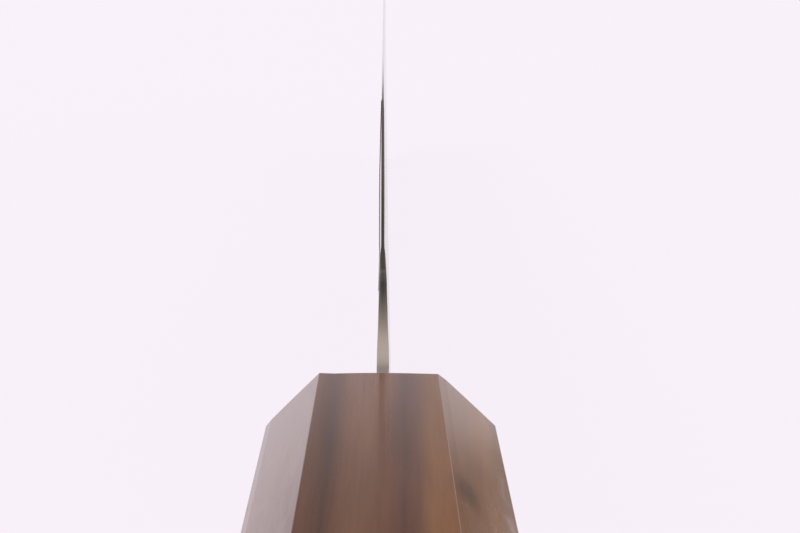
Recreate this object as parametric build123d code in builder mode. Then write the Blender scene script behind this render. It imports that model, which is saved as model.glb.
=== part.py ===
"""Kiritsuke knife: a laminated blade with a slanted tip in an octagonal wooden handle.

Millimetres. +Y runs from the butt of the handle to the tip of the blade, +X is to
the right seen from behind the handle, and +Z is up, with the cutting edge on top.
The origin is on the surface that the knife rests on, under the middle of its
length. The knife rests on the handle's spine-side facet and on the corner where
the spine meets the slanted tip.
"""
import os
from build123d import *

os.makedirs("parts", exist_ok=True)

# Blade, seen from the side
blade_length = 240.0        # heel to tip
blade_height = 50.0         # spine to edge at the heel
flat_length = 108.0         # straight run of the edge, from the heel
flat_end_height = 49.0      # spine to edge where the edge starts to curve
tip_height = 43.5           # tip above the line of the spine
slant_length = 53.0         # slanted front, measured along the knife
spine_inset = 2.0           # spine above the resting surface, at the shoulder

# Neck, choil and tang, seen from the side
neck_length = 18.0          # ferrule to the back of the heel
neck_height = 19.0
choil_radius = 9.0          # round between the neck and the back of the heel
shoulder_gap = 4.0          # bare tang between the ferrule and the neck's shoulders
tang_length = 94.0          # shoulders to the end of the tang
tang_root_height = 12.0
tang_end_height = 6.0

# Blade thickness
spine_thickness = 2.3       # at the heel
edge_thickness = 0.07       # flat left on the edge
spine_ease_share = 0.13     # small chamfer along the spine, in its thickness
core_spine_thickness = 0.6  # middle layer at the spine, at the heel
right_face_share = 0.55     # more of the thickness is on the right face
tang_end_thickness_share = 0.85
spine_taper_share = 0.68    # thickness that the spine loses from heel to tip
grind_taper_share = 0.30    # thickness that the ground edge loses from heel to tip
lamination_depth_share = 0.12
lamination_thickness_share = 0.143
# Below the lamination line: depth from the edge as a share of the blade's height,
# and thickness as a share of the spine's. The faces are slightly hollow near the
# middle, and swell again towards the spine.
grind_shares = ((0.26, 0.296), (0.44, 0.313), (0.56, 0.426), (0.66, 0.578))

# Handle: an octagon with 45 degree corners that widens towards the butt
handle_length = 140.0
front_width = 22.0
front_height = 24.0
front_corner = 5.3
butt_width = 24.5
butt_height = 26.5
butt_corner = 4.4
front_ease = 0.6            # small chamfer round the ferrule's front
butt_ease = 1.5             # larger chamfer round the butt

# Ferrule, dowel and the joint with the tang
ferrule_length = 38.0
ferrule_wall = 8.0          # solid front of the ferrule, in front of the dowel
dowel_diameter = 15.0
dowel_clearance = 0.05      # on the radius, in the ferrule and in the body
dowel_length = 99.0
dowel_end_gap = 0.5         # behind the dowel, at the bottom of its bore
slot_width = 3.2
glue_gap = 0.4              # round the tang's edges and end
seal_recess = 0.5           # how far the seal lies inside the ferrule's mouth

# Past a face that is cut, so that no cut ends on it
overrun = 1.0

# Places along the knife
overall_length = handle_length + neck_length + blade_length
ferrule_face = handle_length - overall_length / 2
butt_face = ferrule_face - handle_length
shoulder = ferrule_face + shoulder_gap
tang_end = shoulder - tang_length
heel = ferrule_face + neck_length
tip = heel + blade_length
spine_corner = tip - slant_length
flat_end = heel + flat_length
body_face = ferrule_face - ferrule_length
dowel_face = ferrule_face - ferrule_wall
dowel_end = dowel_face - dowel_length
bore_end = dowel_end - dowel_end_gap
bore_radius = dowel_diameter / 2 + dowel_clearance
neck_underside = spine_inset + neck_height
tang_middle = spine_inset + neck_height / 2


def spine_line(y):
    """Height of the spine: it comes down to the resting surface at its corner."""
    return spine_inset * (spine_corner - y) / (spine_corner - shoulder)


heel_edge = spine_line(heel) + blade_height
flat_end_edge = spine_line(flat_end) + flat_end_height
tip_edge = spine_line(tip) + tip_height

# Cutting edge: a straight run from the heel, then one long arc up to the tip
with BuildLine() as edge_view:
    edge_flat = Line((heel, heel_edge), (flat_end, flat_end_edge))
    edge_belly = TangentArc((flat_end, flat_end_edge), (tip, tip_edge), tangent=edge_flat % 1)


def tang_half_height(y):
    """Half the tang's height, which shrinks evenly from the shoulders to its end."""
    along = (shoulder - y) / tang_length
    return (tang_root_height + (tang_end_height - tang_root_height) * along) / 2


# Side view of the whole blade, with its neck and tang
with BuildSketch(Plane.YZ) as blade_view:
    with BuildLine():
        add(edge_view.line)
        Line((tip, tip_edge), (spine_corner, spine_line(spine_corner)))
        Line((spine_corner, spine_line(spine_corner)), (shoulder, spine_inset))
        Polyline(
            (shoulder, spine_inset),
            (shoulder, tang_middle - tang_half_height(shoulder)),
            (tang_end, tang_middle - tang_half_height(tang_end)),
            (tang_end, tang_middle + tang_half_height(tang_end)),
            (shoulder, tang_middle + tang_half_height(shoulder)),
            (shoulder, neck_underside),
            (heel - choil_radius, neck_underside),
        )
        TangentArc((heel - choil_radius, neck_underside), (heel, neck_underside + choil_radius),
                   tangent=(1, 0))
        Line((heel, neck_underside + choil_radius), (heel, heel_edge))
    make_face()


def taper(y, lost_share):
    """Thickness left at this place, as a share of the thickness at the heel."""
    return 1 - lost_share * (y - heel) / blade_length


def station(y, edge, taper_place=None, scale=1.0):
    """One cross-section's place: along the knife, edge, spine and the two tapers."""
    place = y if taper_place is None else taper_place
    near = spine_thickness * scale * taper(place, grind_taper_share)
    far = spine_thickness * scale * taper(place, spine_taper_share)
    return {"y": y, "edge": edge, "spine": spine_line(y), "near": near, "far": far}


# Cross-sections from the end of the tang to just past the tip
belly_start, belly_middle = edge_belly @ (1 / 4), edge_belly @ (1 / 2)
belly_end = edge_belly @ (3 / 4)
past_tip = edge_belly @ 1 + (edge_belly % 1) * overrun
flat_middle = edge_flat @ (1 / 2)
stations = [
    station(tang_end - overrun, heel_edge, shoulder, tang_end_thickness_share),
    station(shoulder, heel_edge),
    station(heel, heel_edge),
    station(flat_middle.X, flat_middle.Y),
    station(flat_end, flat_end_edge),
    station(belly_start.X, belly_start.Y),
    station(belly_middle.X, belly_middle.Y),
    station(belly_end.X, belly_end.Y),
    station(past_tip.X, past_tip.Y),
]


def layer_thickness(place, depth_share, thickness_share):
    """Thickness at a depth: near the edge it follows the grind, at the spine the spine."""
    return thickness_share * (place["near"] + (place["far"] - place["near"]) * depth_share)


def face_share(side):
    """Part of the thickness on this side: -1 is the right face, 1 the left."""
    return right_face_share if side < 0 else 1 - right_face_share


def core_points(place, side):
    """Boundary of the middle layer on one side, from above the edge to below the spine."""
    share = side * face_share(side)
    height = place["edge"] - place["spine"]
    lamination = layer_thickness(place, lamination_depth_share, lamination_thickness_share)
    core_spine = core_spine_thickness * place["far"] / spine_thickness
    return [
        (share * edge_thickness, place["edge"] + overrun),
        (share * edge_thickness, place["edge"]),
        (share * lamination, place["edge"] - lamination_depth_share * height),
        (share * core_spine, place["spine"] - overrun),
    ]


def face_points(place, side):
    """Outer face of the blade on one side, from the lamination line round the spine."""
    share = side * face_share(side)
    height = place["edge"] - place["spine"]
    points = [core_points(place, side)[2]]
    for depth_share, thickness_share in grind_shares:
        across = share * layer_thickness(place, depth_share, thickness_share)
        points.append((across, place["edge"] - depth_share * height))
    spine_half = share * place["far"]
    ease = spine_ease_share * place["far"]
    points.append((spine_half, place["spine"] + ease))
    points.append((spine_half - side * ease, place["spine"]))
    points.append((spine_half - side * ease, place["spine"] - overrun))
    return points


def blade_layer(points_of_place):
    """Sections through every station, joined and cut to the blade's side view."""
    with BuildPart() as layer:
        for place in stations:
            with BuildSketch(Plane.XZ.offset(-place["y"])):
                with BuildLine():
                    Polyline(*points_of_place(place), close=True)
                make_face()
        loft(ruled=True)
        extrude(to_extrude=blade_view.sketch.face(), amount=spine_thickness, both=True,
                mode=Mode.INTERSECT)
    return layer


def cladding_points(side):
    """Closed outline of one outer layer: out along the face, back along the core."""
    return lambda place: face_points(place, side) + [core_points(place, side)[3]]


def core_outline(place):
    return core_points(place, -1) + core_points(place, 1)[::-1]


def whole_outline(place):
    return (core_points(place, -1)[:2] + face_points(place, -1)
            + face_points(place, 1)[::-1] + core_points(place, 1)[:2][::-1])


# Middle layer: the hard steel that is also the cutting edge
core_steel = blade_layer(core_outline)
core_steel.part.label = "core_steel"
export_step(core_steel.part, "parts/core_steel.step")

# Outer layers: soft steel, ground thin so that they end at the lamination line
right_cladding = blade_layer(cladding_points(-1))
right_cladding.part.label = "right_cladding"
export_step(right_cladding.part, "parts/right_cladding.step")

left_cladding = blade_layer(cladding_points(1))
left_cladding.part.label = "left_cladding"
export_step(left_cladding.part, "parts/left_cladding.step")

# The three layers as one blank, which the resin and the seal fit round
blade_blank = blade_layer(whole_outline)


def octagon(y):
    """Corners of the handle's section at this place; the lower facet stays level."""
    along = (ferrule_face - y) / handle_length
    width = front_width + (butt_width - front_width) * along
    height = front_height + (butt_height - front_height) * along
    corner = front_corner + (butt_corner - front_corner) * along
    side = width / 2
    return [
        (-side + corner, 0), (side - corner, 0), (side, corner), (side, height - corner),
        (side - corner, height), (-side + corner, height), (-side, height - corner), (-side, corner),
    ]


def corner_facet(index):
    """Plane of one 45 degree facet, facing out, through three corners of the octagons."""
    front, back = octagon(ferrule_face), octagon(butt_face)
    start = Vector(front[index][0], ferrule_face, front[index][1])
    beside = Vector(front[(index + 1) % len(front)][0], ferrule_face,
                    front[(index + 1) % len(front)][1])
    behind = Vector(back[index][0], butt_face, back[index][1])
    across = beside - start
    return Plane(origin=start, x_dir=across, z_dir=across.cross(behind - start))


# Handle in one piece: a tapered square bar with its four long corners planed off
with BuildPart() as handle_bar:
    with BuildSketch(Plane.XY):
        with BuildLine():
            Polyline((-front_width / 2, ferrule_face), (front_width / 2, ferrule_face),
                     (butt_width / 2, butt_face), (-butt_width / 2, butt_face), close=True)
        make_face()
    extrude(amount=front_height + butt_height)
    with BuildSketch(Plane.YZ):
        with BuildLine():
            Polyline((ferrule_face, 0), (ferrule_face, front_height),
                     (butt_face, butt_height), (butt_face, 0), close=True)
        make_face()
    extrude(amount=front_width + butt_width, both=True, mode=Mode.INTERSECT)
    for corner_index in range(1, len(octagon(ferrule_face)), 2):
        split(bisect_by=corner_facet(corner_index), keep=Keep.BOTTOM)


def slot_points(front, back):
    """Side view of the tang's slot between two places, wider than the tang by the gap."""
    front_half = tang_half_height(front) + glue_gap
    back_half = tang_half_height(back) + glue_gap
    return [
        (front, tang_middle - front_half), (back, tang_middle - back_half),
        (back, tang_middle + back_half), (front, tang_middle + front_half),
    ]


slot_end = tang_end - glue_gap

# Ferrule: bored from behind for the dowel, with a slot for the tang in its front wall
with BuildPart() as ferrule:
    add(handle_bar.part)
    split(bisect_by=Plane.XZ.offset(-body_face), keep=Keep.BOTTOM)
    chamfer(ferrule.faces().sort_by(Axis.Y)[-1].edges(), length=front_ease)
    with BuildSketch(Plane.XZ.offset(-dowel_face)):
        with Locations((0, tang_middle)):
            Circle(bore_radius)
    extrude(amount=ferrule_length, mode=Mode.SUBTRACT)
    with BuildSketch(Plane.YZ):
        with BuildLine():
            Polyline(*slot_points(ferrule_face + overrun, dowel_face - overrun), close=True)
        make_face()
    extrude(amount=slot_width / 2, both=True, mode=Mode.SUBTRACT)
ferrule.part.label = "ferrule"
export_step(ferrule.part, "parts/ferrule.step")

# Body of the handle, bored from its front for the rest of the dowel
with BuildPart() as handle_body:
    add(handle_bar.part)
    split(bisect_by=Plane.XZ.offset(-body_face), keep=Keep.TOP)
    chamfer(handle_body.faces().sort_by(Axis.Y)[0].edges(), length=butt_ease)
    with BuildSketch(Plane.XZ.offset(-bore_end)):
        with Locations((0, tang_middle)):
            Circle(bore_radius)
    extrude(amount=bore_end - body_face - overrun, mode=Mode.SUBTRACT)
handle_body.part.label = "handle_body"
export_step(handle_body.part, "parts/handle_body.step")

# Dowel: joins the ferrule to the body and takes the tang in a blind slot
with BuildPart() as tang_dowel:
    with BuildSketch(Plane.XZ.offset(-dowel_face)):
        with Locations((0, tang_middle)):
            Circle(dowel_diameter / 2)
    extrude(amount=dowel_length)
    with BuildSketch(Plane.YZ):
        with BuildLine():
            Polyline(*slot_points(dowel_face + overrun, slot_end), close=True)
        make_face()
    extrude(amount=slot_width / 2, both=True, mode=Mode.SUBTRACT)
tang_dowel.part.label = "tang_dowel"
export_step(tang_dowel.part, "parts/tang_dowel.step")


def slot_filling(front, back):
    """What fills the slot between two places, with the blade taken out of it."""
    with BuildPart() as filling:
        with BuildSketch(Plane.YZ):
            with BuildLine():
                Polyline(*slot_points(front, back), close=True)
            make_face()
        extrude(amount=slot_width / 2, both=True)
        add(blade_blank.part, mode=Mode.SUBTRACT)
    return filling


# Resin that holds the tang in the dowel
tang_adhesive = slot_filling(dowel_face, slot_end)
tang_adhesive.part.label = "tang_adhesive"
export_step(tang_adhesive.part, "parts/tang_adhesive.step")

# Filler that closes the ferrule's mouth round the tang
mouth_seal = slot_filling(ferrule_face - seal_recess, dowel_face)
mouth_seal.part.label = "mouth_seal"
export_step(mouth_seal.part, "parts/mouth_seal.step")
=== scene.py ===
# %% [markdown]
# # A kiritsuke knife, seen along its blade
#
# A kiritsuke is a long kitchen knife whose tip is cut off at a slant. This lesson
# dresses one: a laminated blade, ground thin, in an octagonal wooden handle. The
# pieces come from a CAD model that is loaded first and never moved. Blender gives
# them their finish, and replaces the ones whose fine shape CAD leaves out.
#
# Lengths are written in millimetres, because that is how a cutler thinks, and are
# turned to metres where a mesh is made.

# %% Load the CAD frame
import math

import bmesh
import bpy
import numpy as np
from mathutils import Matrix, Vector


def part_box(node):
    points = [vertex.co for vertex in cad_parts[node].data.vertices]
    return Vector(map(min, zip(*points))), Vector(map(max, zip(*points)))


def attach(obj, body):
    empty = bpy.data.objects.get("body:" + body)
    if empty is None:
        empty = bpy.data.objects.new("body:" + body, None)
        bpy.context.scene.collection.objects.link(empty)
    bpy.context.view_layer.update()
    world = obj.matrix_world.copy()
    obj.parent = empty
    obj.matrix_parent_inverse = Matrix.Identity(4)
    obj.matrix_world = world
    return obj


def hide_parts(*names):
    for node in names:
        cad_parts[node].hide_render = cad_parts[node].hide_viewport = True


MM = 0.001
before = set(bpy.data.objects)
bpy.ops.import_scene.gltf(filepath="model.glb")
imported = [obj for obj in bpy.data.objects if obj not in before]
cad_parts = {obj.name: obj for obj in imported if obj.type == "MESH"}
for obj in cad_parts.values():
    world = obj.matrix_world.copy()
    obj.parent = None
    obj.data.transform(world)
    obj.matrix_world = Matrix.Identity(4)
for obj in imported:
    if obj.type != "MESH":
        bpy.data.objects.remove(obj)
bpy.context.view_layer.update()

# %% [markdown]
# The frame knows where each CAD piece starts and ends. The places along the knife are
# read from it, so that the fine meshes made below sit exactly where the solids do.

# %% Read the places along the knife from the frame
ferrule_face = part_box("ferrule")[1].y / MM
joint_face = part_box("ferrule")[0].y / MM
butt_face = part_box("handle_body")[0].y / MM
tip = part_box("core_steel")[1].y / MM
tang_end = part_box("core_steel")[0].y / MM
dowel_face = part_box("tang_dowel")[1].y / MM
dowel_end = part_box("tang_dowel")[0].y / MM
print("ferrule face", round(ferrule_face, 1), "butt", round(butt_face, 1), "tip", round(tip, 1))

# %% [markdown]
# ## Helpers
#
# A colour is easiest to judge as the hex value that a colour picker shows. Blender
# counts light in linear values, so one function turns the first into the second.
# Shader and geometry trees are built with one other function. It adds a node, sets
# its properties, fills its inputs, and fills the stops if the node is a ramp.

# %% Colours and nodes
def linear_colour(text):
    """Linear red, green, blue and alpha of an sRGB hex colour such as #a0b0c0."""
    parts = [int(text[i:i + 2], 16) / 255 for i in (1, 3, 5)]
    linear = [p / 12.92 if p <= 0.04045 else ((p + 0.055) / 1.055) ** 2.4 for p in parts]
    return (*linear, 1.0)


def node(tree, kind, inputs=None, stops=(), **settings):
    """Adds a node. Inputs are set by name or number, with a value or another node's output."""
    made = tree.nodes.new(kind)
    for name, value in settings.items():
        setattr(made, name, value)
    for key, value in (inputs or {}).items():
        if isinstance(value, bpy.types.NodeSocket):
            tree.links.new(value, made.inputs[key])
        else:
            made.inputs[key].default_value = value
    for number, (place, colour) in enumerate(stops):
        if number >= len(made.color_ramp.elements):
            made.color_ramp.elements.new(1.0)
        made.color_ramp.elements[number].position = place
        made.color_ramp.elements[number].color = linear_colour(colour)
    return made


# The colour version of the Mix node keeps its sockets at these numbers
MIX_A, MIX_B, MIX_RESULT = 6, 7, 2

# %% [markdown]
# ## Camera
#
# The photograph looks along the knife from behind and above the handle, with the
# edge up, as a cutler does to judge how thin a blade is ground. The place, pitch
# and lens below make the octagon's corners and the heel fall where they do there.

# %% Camera
picture_width_pixels = 800
focal_length_pixels = 1500
sensor_width_mm = 36.0
camera_right_of_blade = 0.30
camera_behind_ferrule = 134.1
camera_height = 73.9
nearest_seen = 5.0
pitch_down, turn_right, roll = 16.335, 0.565, 0.229

camera_data = bpy.data.cameras.new("camera")
camera_data.sensor_width = sensor_width_mm
camera_data.lens = focal_length_pixels * sensor_width_mm / picture_width_pixels
camera_data.clip_start = nearest_seen * MM
camera = bpy.data.objects.new("camera", camera_data)
bpy.context.scene.collection.objects.link(camera)
place = Vector((camera_right_of_blade, ferrule_face - camera_behind_ferrule, camera_height))
camera.matrix_world = (
    Matrix.Translation(place * MM)
    @ Matrix.Rotation(math.radians(-turn_right), 4, "Z")
    @ Matrix.Rotation(math.radians(90 - pitch_down), 4, "X")
    @ Matrix.Rotation(math.radians(roll), 4, "Z")
)
bpy.context.scene.camera = camera
print("lens", round(camera_data.lens, 1), "mm")

# %% [markdown]
# ## Studio
#
# The background is one pale lilac white without a horizon. The camera sees that
# colour wherever it looks past the knife. The steel and the varnish mirror a room,
# written below as an arc that starts at the horizon behind the camera, passes
# overhead and ends at the horizon in front: a dim room, a warm soft light overhead,
# a darker gap, and the pale backdrop. That is what draws the dark back of the heel
# and the haze on the far end of the handle. Everything else is lit evenly.

# %% World
pale_backdrop = "#faf2fa"
even_light = "#c2bdc1"
room_sides = "#a39c98"
# Degrees from the horizon behind the camera, up and over, and the colour seen there
room_arc = (
    (5, "#4f4a46"), (25, "#5b5550"), (45, "#857c74"), (66, "#ab9e91"), (88, "#d8cabb"),
    (118, "#eee2d6"), (141, "#eee2d6"), (147, "#867d77"), (150, "#494340"), (154, "#5e5855"),
    (157, "#827c7c"), (160, "#ada7ac"), (165, "#faf2fa"),
)
# How far sideways a direction points where the sides of the room start and are full
sides_start = 0.70
sides_full = 0.95

scene = bpy.context.scene
scene.view_settings.view_transform = "Standard"
world = bpy.data.worlds.new("pale_studio")
scene.world = world
world.use_nodes = True
tree = world.node_tree
tree.nodes.clear()
direction = node(tree, "ShaderNodeTexCoord").outputs["Generated"]
toward = node(tree, "ShaderNodeSeparateXYZ", {0: direction}).outputs
rise = node(tree, "ShaderNodeMath", {0: toward["Z"], 1: 0.0}, operation="MAXIMUM")
backward = node(tree, "ShaderNodeMath", {0: toward["Y"], 1: -1.0}, operation="MULTIPLY")
angle = node(tree, "ShaderNodeMath", {0: rise.outputs[0], 1: backward.outputs[0]}, operation="ARCTAN2")
arc_share = node(tree, "ShaderNodeMath", {0: angle.outputs[0], 1: math.pi}, operation="DIVIDE")
arc = node(tree, "ShaderNodeValToRGB", {0: arc_share.outputs[0]},
           stops=[(degrees / 180, colour) for degrees, colour in room_arc])
aside = node(tree, "ShaderNodeMath", {0: toward["X"]}, operation="ABSOLUTE")
at_side = node(tree, "ShaderNodeMapRange", {0: aside.outputs[0], 1: sides_start, 2: sides_full},
               interpolation_type="SMOOTHSTEP")
room = node(tree, "ShaderNodeMix", {0: at_side.outputs[0], MIX_A: arc.outputs[0],
                                    MIX_B: linear_colour(room_sides)}, data_type="RGBA")
ray = node(tree, "ShaderNodeLightPath").outputs
mirrored = node(tree, "ShaderNodeMath", {0: ray["Is Glossy Ray"], 1: ray["Is Transmission Ray"]},
                operation="ADD")
in_gloss = node(tree, "ShaderNodeMix", {0: mirrored.outputs[0], MIX_A: linear_colour(even_light),
                                        MIX_B: room.outputs[MIX_RESULT]}, data_type="RGBA")
shown = node(tree, "ShaderNodeMix", {0: ray["Is Camera Ray"], MIX_A: in_gloss.outputs[MIX_RESULT],
                                     MIX_B: linear_colour(pale_backdrop)}, data_type="RGBA")
backdrop = node(tree, "ShaderNodeBackground", {0: shown.outputs[MIX_RESULT], 1: 1.0})
node(tree, "ShaderNodeOutputWorld", {0: backdrop.outputs[0]})
print("the room has", len(room_arc), "tones from back to front")

# %% [markdown]
# The floor is a sheet of the same pale colour. Part of what the camera sees of it is
# a steady glow of that colour, so it stays even to the horizon, and the rest is lit
# like anything else, so it keeps a faint shadow of the knife.

# %% Floor
floor_half_size = 3000.0
floor_drop = 0.05
steady_share = 0.93

floor_paper = bpy.data.materials.new("matt_backdrop_paper")
floor_paper.use_nodes = True
tree = floor_paper.node_tree
tree.nodes.clear()
ray = node(tree, "ShaderNodeLightPath").outputs
mirrored = node(tree, "ShaderNodeMath", {0: ray["Is Glossy Ray"], 1: ray["Is Transmission Ray"]},
                operation="ADD")
seen = node(tree, "ShaderNodeMath", {0: mirrored.outputs[0], 1: ray["Is Camera Ray"]}, operation="ADD")
share = node(tree, "ShaderNodeMath", {0: seen.outputs[0], 1: steady_share}, operation="MULTIPLY")
lit = node(tree, "ShaderNodeBsdfDiffuse", {"Color": linear_colour(pale_backdrop)})
glow = node(tree, "ShaderNodeEmission", {"Color": linear_colour(pale_backdrop), "Strength": 1.0})
both = node(tree, "ShaderNodeMixShader", {0: share.outputs[0], 1: lit.outputs[0], 2: glow.outputs[0]})
node(tree, "ShaderNodeOutputMaterial", {0: both.outputs[0]})

floor_mesh = bpy.data.meshes.new("floor")
half, drop = floor_half_size * MM, -floor_drop * MM
floor_mesh.from_pydata([(-half, -half, drop), (half, -half, drop), (half, half, drop), (-half, half, drop)],
                       [], [(0, 1, 2, 3)])
floor_mesh.materials.append(floor_paper)
floor = bpy.data.objects.new("floor", floor_mesh)
scene.collection.objects.link(floor)
print("the floor is", 2 * floor_half_size * MM, "m wide")

# %% [markdown]
# Two large softboxes give the knife its shading and the floor its faint shadow. The
# steel would mirror them as bright squares, so reflections don't see them. What
# reflections see is the room above and the cards below.

# %% Lamps
softbox_size = 1000
lamp_aim = (0, -40, 20)


def soft_lamp(name, place, watts):
    """A square softbox at a place in mm, turned to the knife."""
    lamp = bpy.data.lights.new(name, "AREA")
    lamp.size = softbox_size * MM
    lamp.energy = watts
    box = bpy.data.objects.new(name, lamp)
    box.location = Vector(place) * MM
    box.rotation_euler = (Vector(lamp_aim) - Vector(place)).to_track_quat("-Z", "Y").to_euler()
    box.visible_glossy = False
    scene.collection.objects.link(box)
    print(name, "gives", watts, "W")


soft_lamp("key_from_front_left", (-600, 450, 1000), 6.5)
soft_lamp("fill_from_right", (900, -100, 900), 3.0)

# %% [markdown]
# Shiny things are lit by what they mirror, so a photographer also sets up cards. Here
# the cards glow with painted tones, which only reflections see: each is a painted
# reflection. Four of them stand upright. The one in front on the right takes the sheen
# off the right chamfer of the handle bit by bit, and the one in front on the left does
# the same on that side, more softly. The one beside the blade is a painted shadow: its
# dark tone stands in for the shade on the floor there, and draws the thin dark line
# along its left face. The one behind stands where the photographer would be, and
# darkens the back of the heel. That back would also mirror the brown handle, so the
# fifth card lies close over the handle with its glowing side up, a painted reflection
# in place of the handle's own.

# %% Cards that only reflections see
def painted_reflection_card(name, corners, tones, axis="X"):
    """A card between four corners in mm. Tones are (share of the way along an axis, colour).

    Its front glows with the tones as a painted reflection, and only reflections see it. From behind, a card
    is seen through, so it can stand in the way.
    """
    painted_reflection_material = bpy.data.materials.new(name + "_felt")
    painted_reflection_material.use_nodes = True
    tree = painted_reflection_material.node_tree
    tree.nodes.clear()
    along = node(tree, "ShaderNodeTexCoord").outputs["Generated"]
    share = node(tree, "ShaderNodeSeparateXYZ", {0: along}).outputs[axis]
    tone = node(tree, "ShaderNodeValToRGB", {0: share}, stops=tones)
    flat_tone = node(tree, "ShaderNodeEmission", {"Color": tone.outputs[0], "Strength": 1.0})
    behind = node(tree, "ShaderNodeNewGeometry").outputs["Backfacing"]
    see_through = node(tree, "ShaderNodeBsdfTransparent")
    one_sided = node(tree, "ShaderNodeMixShader", {0: behind, 1: flat_tone.outputs[0],
                                                   2: see_through.outputs[0]})
    node(tree, "ShaderNodeOutputMaterial", {0: one_sided.outputs[0]})
    sheet = bpy.data.meshes.new(name)
    sheet.from_pydata([tuple(Vector(corner) * MM) for corner in corners], [], [(0, 1, 2, 3)])
    sheet.materials.append(painted_reflection_material)
    card = bpy.data.objects.new(name, sheet)
    scene.collection.objects.link(card)
    card.visible_camera = False
    card.visible_diffuse = False
    card.visible_shadow = False
    print(name, "has", len(tones), "tones")


def upright(left, right, y, height):
    """Corners of a card that stands on the floor. Left and right are seen from its glowing front."""
    return (left, y, 0), (right, y, 0), (right, y, height), (left, y, height)


# Painted reflection: its dark tones take the sheen off the right chamfer
painted_reflection_card("card_front_right", upright(34, 235, 60, 45),
          ((0.0, "#faf2fa"), (0.112, "#cac2c3"), (0.145, "#777272"), (0.187, "#645f5e"),
           (0.267, "#7e7879"), (1.0, "#7e7879")))
# Painted reflection: its greyer tones take a little of the sheen off the left chamfer
painted_reflection_card("card_front_left", upright(-225, -86, 135, 45),
          ((0.0, "#c0b8c0"), (0.75, "#c8c0c8"), (0.84, "#dad2da"), (0.92, "#f6eef6"),
           (1.0, "#faf2fa")))
# Painted shadow: its dark tone stands in for the blade's shade on the floor beside it, which the left face
# mirrors
painted_reflection_card("card_left_of_blade", upright(-33, -1.2, 45, 32),
          ((0.0, "#d0c8cc"), (0.2, "#6a6563"), (0.4, "#1c1a19"), (1.0, "#1c1a19")))
# Painted reflection of a dark room behind the camera, which darkens the back of the heel
painted_reflection_card("card_behind", upright(200, -200, -330, 90),
          ((0.0, "#d8cdcd"), (0.15, "#c8bdbd"), (0.26, "#6c6663"), (1.0, "#625d5a")), axis="Z")

cover_half_width = 9
cover_front_gap = 0.5
cover_height_front = 24.6
cover_height_butt = 27.2
cover_front = ferrule_face - cover_front_gap
cover_corners = (
    (-cover_half_width, butt_face, cover_height_butt), (cover_half_width, butt_face, cover_height_butt),
    (cover_half_width, cover_front, cover_height_front), (-cover_half_width, cover_front, cover_height_front),
)
# Painted reflection: it hides the handle from the back of the heel and shows darker tones there instead
painted_reflection_card("card_over_handle", cover_corners,
          ((0.0, "#b8aaad"), (0.12, "#a09092"), (0.30, "#847474"), (0.42, "#83736f"), (0.60, "#776862"),
           (0.70, "#73635c"), (0.78, "#655a52"), (0.88, "#5e574e"), (1.0, "#645c56")), axis="Y")

# %% [markdown]
# ## Blade
#
# A laminated blade is forged from three layers: hard steel in the middle, which also
# makes the edge, and soft steel on both sides. The faces are then ground, which
# uncovers the hard steel along the edge, down to a line that wanders a little. The
# grind is very thin behind the edge, a touch hollow in the middle, and swells to the
# full thickness at the spine.
#
# The CAD layers have flat steps between a few sections. Here the same side view is
# laid out as a fine grid, and each grid point gets the blade's half thickness there.
# A rule like this is easier to keep smooth than any pushing of points by hand.

# %% Blade sizes, in mm
neck_length = 18.0
neck_height = 19.0
choil_radius = 9.0
shoulder_gap = 4.0
tang_root_height = 12.0
tang_end_height = 6.0
blade_height = 50.0
flat_length = 108.0
flat_end_height = 49.0
tip_height = 43.5
slant_length = 53.0
spine_inset = 2.0
spine_thickness = 2.3

shoulder = ferrule_face + shoulder_gap
heel = ferrule_face + neck_length
flat_end = heel + flat_length
spine_corner = tip - slant_length
blade_length = tip - heel
choil_start = spine_inset + neck_height + choil_radius
tang_middle = spine_inset + neck_height / 2
print("heel at", round(heel, 1), "blade length", round(blade_length, 1))

# %% [markdown]
# Seen from the side, the spine is one straight line. The edge is straight from the heel
# and then one long arc, whose radius follows from the tip that it has to meet. Both are
# written as a height at a place along the knife, which makes it easy to say how deep
# below the edge any point lies.

# %% Outline of the side view
def spine_line(y):
    """Height of the spine. It comes down to the floor at the corner of the slant."""
    return spine_inset * (spine_corner - y) / (spine_corner - shoulder)


heel_point = np.array((heel, spine_line(heel) + blade_height))
flat_end_point = np.array((flat_end, spine_line(flat_end) + flat_end_height))
tip_point = np.array((tip, spine_line(tip) + tip_height))
along_flat = (flat_end_point - heel_point) / np.linalg.norm(flat_end_point - heel_point)
below_flat = np.array((along_flat[1], -along_flat[0]))
chord = tip_point - flat_end_point
belly_radius = chord @ chord / (2 * chord @ below_flat)
belly_centre = flat_end_point + below_flat * belly_radius
past_tip = 1.0


def edge_line(y):
    """Height of the cutting edge: straight from the heel, then one long arc to the tip."""
    straight = heel_point[1] + (np.maximum(y, heel) - heel) * along_flat[1] / along_flat[0]
    past = np.clip(y, flat_end, tip + past_tip) - belly_centre[0]
    arc = belly_centre[1] + np.sqrt(belly_radius ** 2 - past ** 2)
    return np.where(y > flat_end, arc, straight)


def depth_share(y, z):
    """How far a point lies from the edge towards the spine, from 0 to 1."""
    return (edge_line(y) - z) / (edge_line(y) - spine_line(y))


print("belly radius", round(belly_radius), "mm")

# %% [markdown]
# The thickness is written as a short profile from edge to spine. The profile is
# blended over a small window, so that the faces show no creases, and shrinks towards
# the tip, the spine faster than the grind.

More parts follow.
